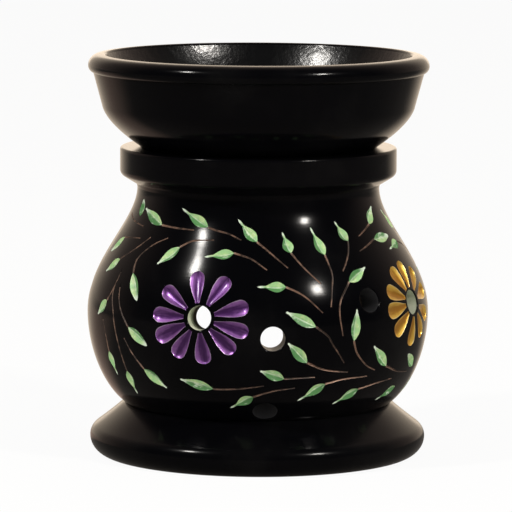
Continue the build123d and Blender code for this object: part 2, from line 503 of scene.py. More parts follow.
# Belly with neck and collar: one turned and hollowed piece, dyed black and polished outside and raw within,
# with a doorway sawn at the back, holes drilled round it, and a vine of flowers carved in and painted.
belly_z = 0.0355
low_swell_r = 0.0056
low_swell_z = 0.0043
low_round = 0.0091
high_round = 0.0128
neck_cove = 0.0086
neck_r = 0.0301
neck_z = 0.0665
neck_flare = 0.0002
neck_flare_rise = 0.0009
collar_r = 0.0344
collar_under_z = 0.0699
collar_low_run = 0.00101
collar_round = 0.0007
wall = 0.0063
chamber_floor_r = 0.0270
chamber_low_round = 0.0085
chamber_high_round = 0.0115
chamber_cove = 0.0090
bore_rise = 0.0015
bond_gap = 0.00005
chamber_r = belly_r - wall
bore_r = neck_r - wall
bore_z = neck_z - bore_rise
seat_r = register_r - bond_gap
flare_end = (neck_r + neck_flare, neck_z + neck_flare_rise)
collar_slope = np.array([collar_r, collar_under_z]) - flare_end
under_end = (collar_r, collar_under_z) - collar_low_run * collar_slope / np.linalg.norm(collar_slope)

# The whole profile as one loop that starts at the bore's top edge and runs down inside and up outside.
# A run's steps are the rows of vertices on it here.
bore_start = (bore_r + arris, collar_top_z)
body_runs = {
    "bore_edge": (3, (bore_r, collar_top_z), (bore_r, collar_top_z - arris)),
    "bore": (8, (bore_r, bore_z)),
    "chamber_top": (
        24, (bore_r, bore_z - chamber_cove), (chamber_r, belly_z + chamber_high_round),
        (chamber_r, belly_z)),
    "chamber_low": (
        20, (chamber_r, belly_z - chamber_low_round), (chamber_floor_r, floor_z + chamber_low_round),
        (chamber_floor_r, floor_z)),
    "rest": (3, (seat_r, floor_z)),
    "register": (2, (seat_r, foot_h)),
    "ledge": (3, (waist_r - arris, foot_h)),
    "seam": (3, (waist_r, foot_h), (waist_r + arris / 2, foot_h + arris)),
    "belly_low": (
        24, (waist_r + low_swell_r, foot_h + low_swell_z), (belly_r, belly_z - low_round),
        (belly_r, belly_z)),
    "belly_high": (32, (belly_r, belly_z + high_round), (neck_r, neck_z - neck_cove), (neck_r, neck_z)),
    "neck_flare": (2, flare_end),
    "under_collar": (5, under_end),
    "collar_low": (6, (collar_r, collar_under_z), (collar_r, collar_under_z + collar_low_run)),
    "collar": (5, (collar_r, collar_top_z - collar_round)),
    "collar_high": (5, (collar_r, collar_top_z), (collar_r - collar_round, collar_top_z)),
    "collar_top": (6, bore_start),
}
points_per_row = 12
run_points = dict(zip(body_runs, bends(bore_start, body_runs.values(), points_per_row)))
loop = join(*run_points.values())
loop_way = np.append(0, np.cumsum(gaps(loop)))
row_ways = loop_way[::points_per_row]
run_ends = np.cumsum([0] + [run[0] for run in body_runs.values()]) * points_per_row
run_first = dict(zip(body_runs, run_ends[:-1]))
run_last = dict(zip(body_runs, run_ends[1:]))
inside = slice(run_first["bore_edge"], run_last["chamber_low"] + 1)
outside = slice(run_first["seam"], run_last["belly_high"] + 1)
# These runs have a crease at each end.
creased_runs = ("rest", "register", "ledge", "under_collar")


def profile_at(way):
    """Radius and height of the loop at a way along it."""
    return np.interp(way, loop_way, loop[:, 0]), np.interp(way, loop_way, loop[:, 1])


def wall_at(height, part):
    """Radius of the inside or the outside at a height, and its way along the loop."""
    order = np.argsort(loop[part, 1], kind="stable")
    heights, radii, ways = (values[order] for values in (loop[part, 1], loop[part, 0], loop_way[part]))
    return np.interp(height, heights, radii), np.interp(height, heights, ways)


def clearance_of(spots, part):
    """How far each spot lies outside the wall at its height."""
    return np.hypot(spots[:, 0], spots[:, 1]) - wall_at(spots[:, 2], part)[0]


def flat_place(spot, part):
    """Azimuth and way along the loop of a spot on the wall."""
    return np.arctan2(spot[0], -spot[1]), float(wall_at(spot[2], part)[1])


def on_belly(x, y):
    """Where the camera's ray through a pixel of the photograph meets the belly."""
    before, beyond, ray_steps = 1.2, 0.5, 5000
    pixel = Vector(((x - photo_side / 2) / focal_pixels, (photo_side / 2 - y) / focal_pixels, -1))
    ray = np.array(camera.rotation_quaternion @ pixel)
    reach = np.linspace(camera_distance - before * belly_r, camera_distance + beyond * belly_r, ray_steps)
    spots = np.array(camera.location) + reach[:, None] * ray
    clearance = clearance_of(spots, outside)
    met = np.argmax(clearance < 0) if (clearance < 0).any() else np.argmin(clearance)
    return flat_place(spots[met], outside)


# Drilled holes: azimuth from the front towards +X, tilt above level and the height that the bit's line
# crosses the centre line at, as a share of the belly's, for each of the five round the belly. The air
# hole under them is drilled upwards through the belly's underside.
hole_r = 0.003
hole_arris = 0.00032
arris_steps = 4
hole_steps = 48
holes = [
    (-11.6, 4.0, 0.431), (13.0, 0.0, 0.398), (49.0, 10.0, 0.413), (73.0, 6.0, 0.426), (-96.0, 5.0, 0.420),
]
air_hole = (11.0, -38.0)
air_hole_up = 0.0027
air_hole_out = 0.0025
air_hole_aim = foot_h + air_hole_up - (waist_r + air_hole_out) * tan(radians(air_hole[1]))
drillings = [(turn, tilt, foot_h + share * (neck_z - foot_h)) for turn, tilt, share in holes]
drillings.append(air_hole + (air_hole_aim,))


def drill_ring(azimuth, tilt, height, radius, part):
    """Azimuths and ways of the ring where a hole of this radius breaks through the inside or the outside."""
    first, last, bit_steps = 0.2, 1.6, 6000
    turn = radians(azimuth)
    out = heading(turn, radians(tilt))
    across = np.array([cos(turn), sin(turn), 0.0])
    up = np.cross(across, out)
    reach = np.linspace(first * belly_r, last * belly_r, bit_steps)
    ring = []
    for angle in np.arange(hole_steps) * 2 * pi / hole_steps:
        start = np.array([0, 0, height]) + radius * (cos(angle) * across + sin(angle) * up)
        spots = start + reach[:, None] * out
        clearance = clearance_of(spots, part)
        met = np.argmax(clearance > 0)
        share = clearance[met] / (clearance[met] - clearance[met - 1])
        ring.append(flat_place(spots[met] + share * (spots[met - 1] - spots[met]), part))
    return np.array(ring)


# Doorway: straight sides up to the spring of a half-round arch. Its outline is given as places on the
# loop from the arch's top, down the outside, under the belly and up the inside to the arch's top again.
# Its arris fades out over a few of its widths above the foot.
door_side_h = 0.016
door_spring_z = floor_z + door_side_h
door_arris = 0.0004
arris_fade = 4 * door_arris
arch_steps = 18
side_steps = 12


def door_outline():
    """Azimuth, way along the loop and unrolled place round the arch of each point of the doorway's edge."""
    edge = []
    angles = np.linspace(pi / 2, 0, arch_steps + 1)
    for angle in angles:
        radius = door_r + door_arris
        way = wall_at(door_spring_z + radius * sin(angle), outside)[1]
        edge.append((radius * cos(angle), way, angle * door_r))
    for height in np.linspace(door_spring_z, foot_h + arris, side_steps)[1:]:
        ease = door_arris * min(1.0, (height - foot_h) / arris_fade)
        edge.append((door_r + ease, wall_at(height, outside)[1], height - door_spring_z))
    under = loop_way[run_first["rest"]:run_last["seam"] + 1:points_per_row][::-1]
    for way in under[1:]:
        edge.append((door_r, way, profile_at(way)[1] - door_spring_z))
    for height in np.linspace(floor_z, door_spring_z, side_steps)[1:]:
        edge.append((door_r, wall_at(height, inside)[1], height - door_spring_z))
    for angle in angles[::-1][1:]:
        way = wall_at(door_spring_z + door_r * sin(angle), inside)[1]
        edge.append((door_r * cos(angle), way, angle * door_r))
    half_width, way, unrolled = np.array(edge).T
    azimuth = pi - np.arcsin(np.clip(half_width / profile_at(way)[0], 0, 1))
    return azimuth, way, unrolled - pi / 2 * door_r


# A cut deepens over its first share, is a little fuller than its section's power says, and stops just short
# of its outline. The paint reaches just past it.
cut_start = 0.05
cut_bluntness = 0.9
cut_edge = 0.985
no_width = 1e-6
paint_reach = 1.02
paint_slack = 1e-5


def curve_at(points, shares):
    """Places at shares of the length of a smooth curve through the points."""
    length = np.append(0, np.cumsum(gaps(points)))
    length /= length[-1]
    padded = np.vstack([2 * points[0] - points[1], points, 2 * points[-1] - points[-2]])
    span = np.clip(np.searchsorted(length, shares, side="right") - 1, 0, len(points) - 2)
    t = ((shares - length[span]) / (length[span + 1] - length[span]))[:, None]
    a, b, c, d = (padded[span + k] for k in range(4))
    square, cube = 2 * a - 5 * b + 4 * c - d, 3 * b - a - 3 * c + d
    return (2 * b + (c - a) * t + square * t ** 2 + cube * t ** 3) / 2


class Stroke:
    """One cut of the carver's gouge: its centre line on the belly, and its half-width and depth along it."""

    def __init__(self, line, shares, half_widths, depth, paint, hollow):
        line = np.array(line, float)
        self.scale = profile_at(line[:, 1].mean())[0]
        self.line = curve_at(line * (self.scale, 1), shares)
        self.shares = np.array(shares, float)
        self.half = np.array(half_widths, float)
        self.depth, self.paint, self.hollow = depth, paint, hollow
        along = np.gradient(self.line, axis=0)
        along /= np.linalg.norm(along, axis=1)[:, None]
        self.left = np.column_stack([-along[:, 1], along[:, 0]])
        self.tone = random.random()

    def across(self, share):
        """The places, as azimuth and way, at a share of the half-width to the left of the centre line."""
        return (self.line + share * self.half[:, None] * self.left) / (self.scale, 1)

    def outline(self):
        wide = self.half > no_width
        start = [self.across(0)[:1]] if not wide[0] else []
        end = [self.across(0)[-1:]] if not wide[-1] else []
        return np.vstack(start + [self.across(-1)[wide]] + end + [self.across(1)[wide][::-1]])

    def beside(self, places):
        """Each place's share along the stroke, its distance to the left and the half-width there."""
        start, step = self.line[:-1], np.diff(self.line, axis=0)
        offset = (places * (self.scale, 1))[:, None] - start
        share = np.clip((offset * step).sum(2) / (step * step).sum(1), 0, 1)
        gap = offset - share[:, :, None] * step
        distance = np.hypot(gap[:, :, 0], gap[:, :, 1])
        nearest = distance.argmin(1)
        rows = np.arange(len(places))
        share, gap = share[rows, nearest], gap[rows, nearest]
        along = self.shares[nearest] + share * np.diff(self.shares)[nearest]
        side = np.sign((gap * self.left[nearest]).sum(1))
        return along, side * distance[rows, nearest], np.interp(along, self.shares, self.half)

    def sink(self, places):
        """Each place's depth in the cut, its shares along and across it, and whether paint covers it."""
        along, distance, half = self.beside(places)
        across = (distance / np.maximum(half, no_width)).clip(-1, 1)
        section = (1 - np.abs(across) ** self.hollow).clip(0) ** cut_bluntness * (np.abs(across) < cut_edge)
        entry = np.clip(along / cut_start, 0, 1)
        painted = np.abs(distance) < half * paint_reach + paint_slack
        return self.depth * half / self.half.max() * section * entry, along, across, painted

    def near(self, places, margin):
        """Whether each place lies in the box round the stroke, with a margin in metres."""
        low = self.line.min(0) - self.half.max() - margin
        high = self.line.max(0) + self.half.max() + margin
        spots = places * (self.scale, 1)
        return ((spots > low) & (spots < high)).all(1)


# The section of a cut, as the power that its depth falls off by: a round gouge's or a chisel's valley.
round_hollow = 2
sharp_valley = 1

# Petals: ten spoon-shaped cuts round a drilled hole, each narrow at its inner end and round at its outer,
# at these turns in degrees. The carver's hand makes each a little different.
random.seed(7)
petal_inner = 0.0036
petal_outer = 0.0117
gold_outer = 0.0108
petal_half_width = 0.0020
petal_depth = 0.0008
petal_neck_share = 0.24
petal_swell_power = 1.2
petal_round_share = 0.78
petal_stretch = 1.12
swell_rows = 15
close_rows = 9
turn_spread = (-2, 2)
reach_spread = (0.97, 1.02)
width_spread = (0.94, 1.04)
petal_turns = (99, 59, 17, -15, -44, -84, -119, -150, 179, 146)
gold_turns = (87, 121, 156, 186, 221, 262, 300, 335, 12, 50)
strokes = []


def carve_flower(drilling, turns, outer, paint):
    azimuth, way = drill_ring(*drilling, hole_r, outside).mean(0)
    swell = np.linspace(0, petal_round_share, swell_rows)
    close = np.linspace(0, pi / 2, close_rows)[1:]
    shares = np.append(swell, petal_round_share + (1 - petal_round_share) * np.sin(close))
    rounded = np.sin(pi / 2 * swell / petal_round_share) ** petal_swell_power
    widths = np.append(petal_neck_share + (1 - petal_neck_share) * rounded, np.cos(close))
    widths[-1] = 0
    for turn in turns:
        out = radians(turn + random.uniform(*turn_spread))
        reach = outer * random.uniform(*reach_spread)
        ends = [(azimuth + petal_stretch * r * cos(out) / belly_r, way + r * sin(out))
                for r in (petal_inner, reach)]
        half = petal_half_width * random.uniform(*width_spread) * widths
        strokes.append(Stroke(ends, shares, half, petal_depth, paint, round_hollow))


# Leaves and stems: each leaf is two chisel cuts that meet in a valley, drawn out to a scratched tip, and
# hangs on a thin engraved stem. The traced ones are given in the photograph's pixels: tip, base, share of
# the leaf that is its drawn-out tip, and the stem's points.
leaf_half_width = 0.00122
leaf_depth = 0.00065
leaf_middle_power = 1.25
leaf_fullness = 0.85
blunt_leaf_rows = 16
tip_rows = 4
blade_rows = 15
tip_half_width = 0.00026
stem_half_width = 0.00026
stem_depth = 0.00028
stem_step = 0.0008
fewest_stem_rows = 4
stem_taper = 0.45
door_margin = 0.0016
back_margin = 0.25
long_tip = 0.30
short_tip = 0.10
traced_sprays = [
    ((182, 208), (208, 227), long_tip, [(215, 230), (229, 234), (241, 240)]),
    ((146, 208), (162, 225), short_tip, [(177, 228), (194, 230)]),
    ((238, 219), (257, 242), long_tip, [(268, 251), (288, 268)]),
    ((157, 264), (180, 247), short_tip, [(193, 241), (214, 240)]),
    ((204, 257), (234, 253), long_tip, [(251, 259), (267, 270)]),
    ((257, 287), (286, 287), long_tip, [(304, 296), (323, 313)]),
    ((282, 232), (291, 253), long_tip, [(303, 267), (321, 284)]),
    ((310, 227), (325, 255), long_tip, [(332, 274), (332, 289), (331, 307)]),
    ((334, 221), (348, 241), long_tip, [(348, 255), (343, 271)]),
    ((371, 206), (369, 224), short_tip, [(359, 236)]),
    ((388, 235), (374, 239), 0.0, [(360, 251)]),
    ((365, 267), (349, 282), short_tip, [(341, 300), (340, 316), (343, 336)]),
    ((357, 309), (354, 341), short_tip, [(357, 353), (366, 365), (375, 370)]),
    ((286, 312), (316, 327), short_tip, [(328, 336), (332, 343), (344, 363)]),
    ((288, 343), (307, 363), short_tip, [(325, 370), (348, 372)]),
    ((260, 371), (284, 379), short_tip, [(315, 377)]),
    ((180, 379), (213, 389), short_tip, [(237, 389), (264, 386)]),
    ((230, 408), (253, 397), long_tip, [(274, 391), (295, 388)]),
    ((297, 401), (325, 384), long_tip, [(344, 379), (367, 376)]),
    ((332, 404), (358, 389), long_tip, [(376, 383), (392, 378)]),
    ((375, 400), (395, 386), long_tip, []),
    ((374, 346), (386, 366), short_tip, [(397, 371), (407, 371)]),
    ((408, 354), (412, 366), 0.0, []),
    ((111, 251), (125, 237), 0.0, [(140, 238)]),
    ((106, 271), (120, 259), short_tip, [(135, 249), (151, 237)]),
    ((137, 301), (133, 273), 0.0, [(138, 258), (153, 245), (168, 238)]),
    ((98, 314), (107, 300), short_tip, [(112, 291), (119, 277)]),
    ((147, 346), (128, 327), 0.0, [(121, 311), (119, 299), (120, 287)]),
    ((118, 375), (109, 351), long_tip, [(106, 336), (103, 319)]),
    ((138, 394), (127, 371), long_tip, [(120, 350), (115, 329), (113, 311), (113, 292), (121, 272)]),
    ((167, 388), (144, 369), short_tip, [(132, 353), (124, 338)]),
    ((144, 199), (140, 216), 0.0, []),
]
traced_stems = [[(132, 213), (134, 220), (143, 226)]]


def leaf_shape(tip):
    """Shares along a leaf from its tip and the half-widths there."""
    shares = np.linspace(0, 1, blunt_leaf_rows)
    if tip:
        shares = np.append(np.linspace(0, tip, tip_rows)[:-1], np.linspace(tip, 1, blade_rows))
    blade = np.clip((shares - tip) / (1 - tip), 0, 1)
    half = leaf_half_width * np.sin(pi * blade ** leaf_middle_power).clip(0) ** leaf_fullness
    half += tip_half_width * (shares > 0) * (1 - blade)
    half[0] = half[-1] = 0
    return shares, half


def clear_of_door(places):
    """Whether each place keeps the carver's margin from the doorway and from the seam line above it."""
    radius, height = profile_at(places[:, 1])
    beside = radius * np.abs(np.sin(places[:, 0]))
    above = np.maximum(height - door_spring_z, 0)
    clear = (np.cos(places[:, 0]) > 0) | (np.hypot(beside, above) > door_r + door_margin)
    return clear & (np.abs(places[:, 0]) < pi - back_margin)


def carve_spray(tip, base, tail, stem):
    """Carve one leaf and its stem, as far as the stem stays clear of the doorway."""
    leaf = Stroke([tip, base], *leaf_shape(tail), leaf_depth, "leaf", sharp_valley)
    if clear_of_door(leaf.outline()).all():
        strokes.append(leaf)
        carve_stem([base] + stem)


def carve_stem(points):
    points = np.array(points, float)
    clear = clear_of_door(points)
    points = points[:len(points) if clear.all() else clear.argmin()]
    if len(points) > 1:
        rows = round(gaps(points * (belly_r, 1)).sum() / stem_step)
        shares = np.linspace(0, 1, max(fewest_stem_rows, rows))
        half = stem_half_width * (1 - stem_taper * shares)
        strokes.append(Stroke(points, shares, half, stem_depth, "stem", round_hollow))


# The vine's panel between the purple and the gold flower is repeated on the parts that aren't seen.
sprays = [(on_belly(*tip), on_belly(*base), tail, [on_belly(*spot) for spot in stem])
          for tip, base, tail, stem in traced_sprays]
for spray in sprays:
    carve_spray(*spray)
for stem in traced_stems:
    carve_stem([on_belly(*spot) for spot in stem])
panel = holes[3][0] - holes[0][0]
panel_starts_before = 2
panel_ends_before = 4
panel_low = radians(holes[0][0] - panel_starts_before)
panel_high = radians(holes[3][0] - panel_ends_before)
for shift in (radians(panel), radians(-2 * panel)):
    for tip, base, tail, stem in sprays:
        if panel_low < min(tip[0], base[0]) and max(tip[0], base[0]) < panel_high:
            tip, base, *stem = [(turn + shift, way) for turn, way in [tip, base] + stem]
            carve_spray(tip, base, tail, stem)
flowers = {
    drillings[0]: (petal_turns, petal_outer, "purple"),
    drillings[3]: (gold_turns, gold_outer, "gold"),
    drillings[4]: (petal_turns, petal_outer, "rose"),
}
for drilling, look in flowers.items():
    carve_flower(drilling, *look)

# The belly's surface is laid out flat, with azimuth across and way up, and filled with triangles that keep
# to the lathe's rows, the outlines of the cuts and the rims of the holes and the doorway. Where outlines
# overlap, the higher rank wins. Each cut has rows of points at shares of its half-width.
columns = 240
inside_columns = 120
clear_gap = 0.00045
loop_end = loop_way[-1]
rank = {"left out": 4, "purple": 3, "gold": 3, "rose": 3, "leaf": 2, "stem": 1}
rows_across = {"stem": [0], "leaf": [-0.5, 0, 0.5]}
petal_rows = [-0.75, -0.5, -0.25, 0, 0.25, 0.5, 0.75]
flat_places, flat_edges, flat_faces, face_kinds = [], [], [], []


def lay_places(places):
    """Add places to the flat layout, and return their numbers."""
    flat_places.extend(places)
    return list(range(len(flat_places) - len(places), len(flat_places)))


def lay_face(places, kind):
    numbers = lay_places(places)
    ahead = np.roll(places, -1, axis=0)
    area = (places[:, 0] * ahead[:, 1] - ahead[:, 0] * places[:, 1]).sum()
    flat_faces.append(numbers if area > 0 else numbers[::-1])
    face_kinds.append(kind)


door_azimuth, door_way, door_unrolled = door_outline()
rims = [drill_ring(*drilling, hole_r + hole_arris, outside) for drilling in drillings]
rims += [drill_ring(*drilling, hole_r, inside) for drilling in drillings]
for gap in [np.column_stack([side * door_azimuth, door_way]) for side in (1, -1)] + rims:
    lay_face(gap, "left out")
for stroke in strokes:
    lay_face(stroke.outline(), stroke.paint)
    for share in rows_across.get(stroke.paint, petal_rows):
        numbers = lay_places(stroke.across(share)[stroke.half > no_width])
        if share == 0:
            flat_edges.extend(zip(numbers, numbers[1:]))


def crowded(places):
    """Whether each place lies in or close to a cut or a hole."""
    hit = np.zeros(len(places), bool)
    for stroke in strokes:
        near = np.flatnonzero(stroke.near(places, clear_gap))
        _, distance, half = stroke.beside(places[near])
        hit[near] |= np.abs(distance) < half + clear_gap
    for rim in rims:
        middle = rim.mean(0)
        scale = (profile_at(middle[1])[0], 1)
        reach = np.linalg.norm((rim - middle) * scale, axis=1).max() + clear_gap
        hit |= np.linalg.norm((places - middle) * scale, axis=1) < reach
    return hit


creases = {run_first[run] for run in creased_runs} | {run_last[run] for run in creased_runs}
for row, way in enumerate(row_ways):
    point = row * points_per_row
    few = run_first["bore"] < point < run_last["chamber_low"]
    turns = np.linspace(-pi, pi, (inside_columns if few else columns) + 1)
    if door_way[-1] < way < door_way[0]:
        door_edge = np.interp(way, door_way[::-1], door_azimuth[::-1])
        turns = turns[np.abs(turns) < door_edge - clear_gap / profile_at(way)[0]]
        if point in creases:
            turns = np.concatenate([[-door_edge], turns, [door_edge]])
    places = np.column_stack([turns, np.full(len(turns), way)])
    numbers = lay_places(places[~crowded(places)])
    if point in creases:
        flat_edges.extend(zip(numbers, numbers[1:]))

flat = np.array(flat_places) * (belly_r, 1)
laid, _, triangles, _, _, origins = delaunay_2d_cdt(
    [Vector(place) for place in flat], flat_edges, flat_faces, 0, weld, True)
laid = np.array([tuple(place) for place in laid]) / (belly_r, 1)
kinds = [max((face_kinds[face] for face in origin), key=rank.get, default="stone") for origin in origins]

# Each place's depth is that of the deepest cut over it, and the paint reads where in that cut it lies.
depth, along_cut, across_cut, tone = np.zeros((4, len(laid)))
for stroke in sorted(strokes, key=lambda stroke: rank[stroke.paint]):
    near = np.flatnonzero(stroke.near(laid, 0))
    sunk, along, across, painted = stroke.sink(laid[near])
    depth[near] = np.maximum(depth[near], sunk)
    near = near[painted]
    along_cut[near], across_cut[near], tone[near] = along[painted], across[painted], stroke.tone

# The surface's normal along the loop, run by run, so that creases between runs stay sharp.
facing_way = np.concatenate([loop_way[run_first[run]:run_last[run] + 1] for run in body_runs])
slopes = np.vstack([np.gradient(points, axis=0) for points in run_points.values()])
facing = np.column_stack([slopes[:, 1], -slopes[:, 0]]) / np.linalg.norm(slopes, axis=1)[:, None]


def facing_at(way):
    """The outward and upward parts of the turned surface's normal at a way along the loop."""
    normal = np.column_stack([np.interp(way, facing_way, facing[:, k]) for k in (0, 1)])
    return normal / np.linalg.norm(normal, axis=1)[:, None]


def around(turn, radius, height):
    """Points or directions at angles round Z from the front towards +X."""
    return np.column_stack([radius * np.sin(turn), -radius * np.cos(turn), height])


def wrapped(places, depth=0):
    """Points in space for azimuths and ways, sunk by a depth into the stone."""
    radius, height = profile_at(places[:, 1])
    normal = facing_at(places[:, 1])
    return around(places[:, 0], radius - depth * normal[:, 0], height - depth * normal[:, 1])


belly_points, belly_ways, belly_faces, belly_kinds, belly_middles = [], [], [], [], []
no_middle = -1.0


def add_points(points, ways):
    """Add points to the belly's mesh with their ways along the loop, and return the first one's number."""
    belly_points.extend(points)
    belly_ways.extend(ways)
    return len(belly_points) - len(points)


def add_face(corners, kind, middle=no_middle):
    """Add a face. One that follows the turned surface also has its middle's way along the loop."""
    belly_faces.append(tuple(corners))
    belly_kinds.append(kind)
    belly_middles.append(middle)


def add_strip(first, second, count, kind, closed):
    """Add quads between two rows of points that start at these numbers."""
    for step in range(count if closed else count - 1):
        ahead = (step + 1) % count
        add_face((first + step, first + ahead, second + ahead, second + step), kind)


add_points(wrapped(laid, depth), laid[:, 1])
for triangle, kind in zip(triangles, kinds):
    if kind != "left out":
        middle = laid[triangle, 1].mean()
        hidden = loop_way[run_first["bore"]] < middle < loop_way[run_last["ledge"]]
        if kind == "stone":
            add_face(triangle, "raw" if hidden else "stone", middle)
        else:
            add_face(triangle, kind)

# The holes in the flowers show bare stone, and the plain ones were dyed with the belly but not polished.
# Each has a quarter-round arris.
wall_levels = 4
for drilling, rim, end in zip(drillings, rims, rims[len(drillings):]):
    out = heading(radians(drilling[0]), radians(drilling[1]))
    rings = [wrapped(rim)]
    for angle in np.arange(1, arris_steps + 1) * pi / 2 / arris_steps:
        ring = drill_ring(*drilling, hole_r + hole_arris * (1 - sin(angle)), outside)
        rings.append(wrapped(ring) - hole_arris * (1 - cos(angle)) * out)
    rings += [rings[-1] + (wrapped(end) - rings[-1]) * share for share in np.linspace(0, 1, wall_levels)[1:]]
    firsts = [add_points(ring, rim[:, 1]) for ring in rings[:-1]] + [add_points(rings[-1], end[:, 1])]
    wall_kind = "raw" if drilling in flowers else "bored"
    for level, (first, second) in enumerate(zip(firsts, firsts[1:])):
        add_strip(first, second, hole_steps, "stone" if level < arris_steps else wall_kind, True)

# The doorway's sides and arch are filled in the plane of their unrolled length and depth.
outer_count = arch_steps + side_steps
door_edge_points = wrapped(np.column_stack([door_azimuth, door_way]))
door_ease = np.zeros(len(door_way))
door_ease[:outer_count] = np.interp(
    door_edge_points[:outer_count, 2], [foot_h, foot_h + arris_fade], [0, door_arris])
on_arch = door_unrolled > -pi / 2 * door_r
arch_angle = np.where(on_arch, pi / 2 + door_unrolled / door_r, 0)
lower = np.where(on_arch, 0, door_unrolled + pi / 2 * door_r)
door_inner_edge = np.column_stack([
    door_r * np.cos(arch_angle), door_edge_points[:, 1] - door_ease,
    door_spring_z + door_r * np.sin(arch_angle) + lower])


def both_sides(half, mirror):
    """One side's outline and its mirror image, as one closed outline."""
    return np.vstack([half, half[::-1][1:-1] * mirror])


sheet = both_sides(np.column_stack([door_unrolled, door_inner_edge[:, 1]]), (-1, 1))
_, _, sheet_triangles, sheet_origins, _, inside_sheet = delaunay_2d_cdt(
    [Vector(place) for place in sheet], [], [list(range(len(sheet)))], 0, fine_weld, True)
first = add_points(both_sides(door_inner_edge, (-1, 1, 1)), np.append(door_way, door_way[::-1][1:-1]))
for triangle, origin in zip(sheet_triangles, inside_sheet):
    if origin:
        add_face([first + sheet_origins[number][0] for number in triangle], "raw")
for side in (1, -1):
    rows = [edge[:outer_count + 1] * (side, 1, 1) for edge in (door_edge_points, door_inner_edge)]
    firsts = [add_points(row, door_way[:outer_count + 1]) for row in rows]
    add_strip(*firsts, outer_count + 1, "stone", False)


def raw_soapstone():
    """Undyed stone inside and in the holes' walls: pale grey-green, scored by the tool, sooty further in."""
    raw_light = (0.62, 0.63, 0.50, 1.0)
    raw_green = (0.42, 0.47, 0.33, 1.0)
    soot = (0.045, 0.032, 0.018, 1.0)
    soot_ends = (0.0375, 0.0395)
    finish = Finish("raw_soapstone")
    x, y, _ = finish.split(finish.place())
    veins = finish.noise(110.0, 5.0, 0.62)
    clean = finish.mix(veins.eased(0.35, 0.65), raw_green, raw_light)
    return finish.set(
        Base_Color=finish.mix(((x * x + y * y) ** 0.5).eased(*soot_ends), soot, clean),
        Roughness=0.62 + 0.1 * veins,
        Normal=finish.bump(finish.rings(1900.0, 2.0) + veins, 0.00004))


def lacquer(name, shaded_floor_colour, lit_wall_colour, edge):
    """Metallic paint brushed into a petal, with painted shade and highlight: deep along its floor, brighter
    on its walls and towards its outer end, and pale at its rim as a highlight.
    """
    finish = Finish(name, Metallic=0.72, Coat_Weight=0.5, Coat_Roughness=0.18)
    brushed = finish.brush_marks(3.2, 1.6)
    patchy = finish.noise(650.0)
    side = finish.read("across") * finish.read("across")
    # Painted shade and highlight: the cut's floor is coloured deeper and its walls, outer end and rim paler,
    # as light and shade would fall in the hollow, on top of the brush marks' own streaks.
    shade_to_highlight_share = side + 0.5 * finish.read("along") + 1.1 * (brushed - 0.5) + 0.5 * (patchy - 0.5)
    rim_highlight_and_wear = side + 0.45 * (patchy - 0.5) + 0.25 * (brushed - 0.5)
    body = finish.mix(shade_to_highlight_share.eased(0.25, 1.1), shaded_floor_colour, lit_wall_colour)
    return finish.set(
        Base_Color=finish.mix(rim_highlight_and_wear.eased(0.80, 0.98) * 0.7, body, edge),
        Roughness=0.30 + 0.16 * brushed + 0.08 * finish.read("tone"),
        Normal=finish.bump(brushed + 0.5 * patchy, 0.00006))


def leaf_paint():
    """Green enamel in a leaf: one half in light green and the other darker, as painted shade on the chisel
    cut's wall, and a scratched whitish tip.
    """
    light = (0.30, 0.55, 0.24, 1.0)
    yellow = (0.46, 0.62, 0.28, 1.0)
    shaded_half_green = (0.075, 0.22, 0.07, 1.0)
    scratch = (0.62, 0.72, 0.58, 1.0)
    finish = Finish("leaf_green", Specular_IOR_Level=0.45)
    across = finish.read("across")
    brushed = finish.brush_marks(3.0, 2.5)
    patchy = finish.noise(800.0, 4.0)
    # Painted shade: one half of the leaf is darkened as if its wall of the V cut lay in shade.
    half = (across + 1.2 * (brushed - 0.5) + 0.8 * (patchy - 0.5)).eased(-0.35, 0.25)
    vein = (across * across).eased(0.0, 0.03)
    tip = (finish.read("along") + 0.3 * (patchy - 0.5)).eased(0.08, 0.30)
    body = finish.mix(half, shaded_half_green, finish.mix(patchy.eased(0.4, 0.65), light, yellow))
    body = finish.mix((1 - vein) * brushed, body, scratch)
    body = finish.mix((brushed * patchy).eased(0.30, 0.38) * 0.7, body, scratch)
    return finish.set(
        Base_Color=finish.mix(tip, scratch, body), Roughness=0.26 + 0.30 * brushed,
        Normal=finish.bump(brushed + patchy, 0.00010))


def stem_paint():
    """Thin copper-brown paint in the engraved stems, rubbed down to bare stone in places."""
    brown = (0.29, 0.18, 0.13, 1.0)
    bare = (0.06, 0.042, 0.034, 1.0)
    finish = Finish("stem_copper", Metallic=0.4)
    brushed = finish.noise(700.0)
    rubbed = 0.5 * brushed + 0.5 * finish.noise(120.0, 2.0)
    return finish.set(
        Base_Color=finish.mix(rubbed.eased(0.40, 0.58), bare, brown), Roughness=0.40 + 0.2 * brushed,
        Normal=finish.bump(brushed, 0.00003))


finishes = {
    "stone": polished_stone("body_stone", 0.11),
    "raw": raw_soapstone(),
    "purple": lacquer(
        "purple_lacquer", (0.075, 0.016, 0.125, 1), (0.37, 0.15, 0.50, 1), (0.74, 0.62, 0.80, 1)),
    "gold": lacquer("gold_lacquer", (0.46, 0.21, 0.02, 1), (0.88, 0.56, 0.09, 1), (0.92, 0.80, 0.50, 1)),
    "rose": lacquer("rose_lacquer", (0.13, 0.011, 0.025, 1), (0.52, 0.10, 0.15, 1), (0.78, 0.52, 0.55, 1)),
    "leaf": leaf_paint(),
    "stem": stem_paint(),
    "bored": mottled(
        "bored_stone", (900.0, 2.0), (0.30, 0.2), 0.00004, Base_Color=(0.045, 0.045, 0.048, 1.0)),
}
finish_number = {kind: number for number, kind in enumerate(finishes)}

